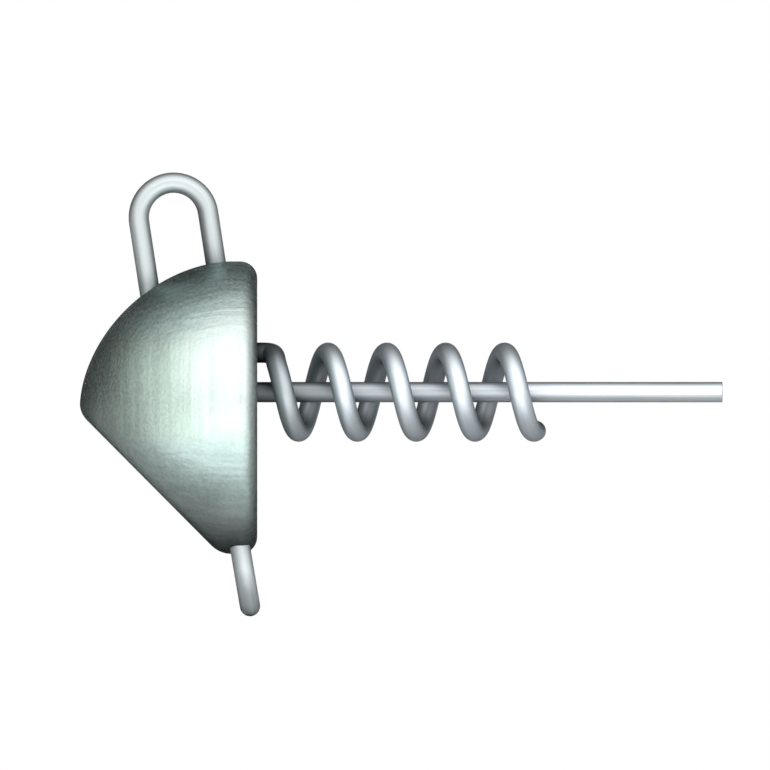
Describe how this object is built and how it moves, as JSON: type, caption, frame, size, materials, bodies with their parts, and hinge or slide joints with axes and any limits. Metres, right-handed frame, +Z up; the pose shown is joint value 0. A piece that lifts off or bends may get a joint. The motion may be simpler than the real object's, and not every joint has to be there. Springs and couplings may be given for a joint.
{
  "type": "screw-in jig head",
  "caption": "Lead fishing jig head with a slanted chin flat, a line-tie eye, a belly eye, and a screw coil round a centring pin that hold a soft lure.",
  "frame": {"origin": "centre of the round rear face of the head, on the axis of its dome", "axes": "+X out of the rear face along the screw and the pin, towards the lure's tail; +Z up, towards the line-tie eye; +Y completes the right-handed frame"},
  "size_m": [0.0472, 0.0214, 0.0326],
  "materials": {
    "cast_lead": "bare cast lead, satin, fine grain",
    "line_tie_wire": "drawn stainless wire, satin",
    "belly_eye_wire": "drawn stainless wire, satin",
    "screw_wire": "drawn stainless wire, satin",
    "pin_wire": "drawn stainless wire, satin"
  },
  "bodies": {
    "root": {"head_weight": "cast_lead", "line_tie_eye": "line_tie_wire", "belly_eye": "belly_eye_wire", "screw_coil": "screw_wire", "centring_pin": "pin_wire"}
  },
  "joints": []
}
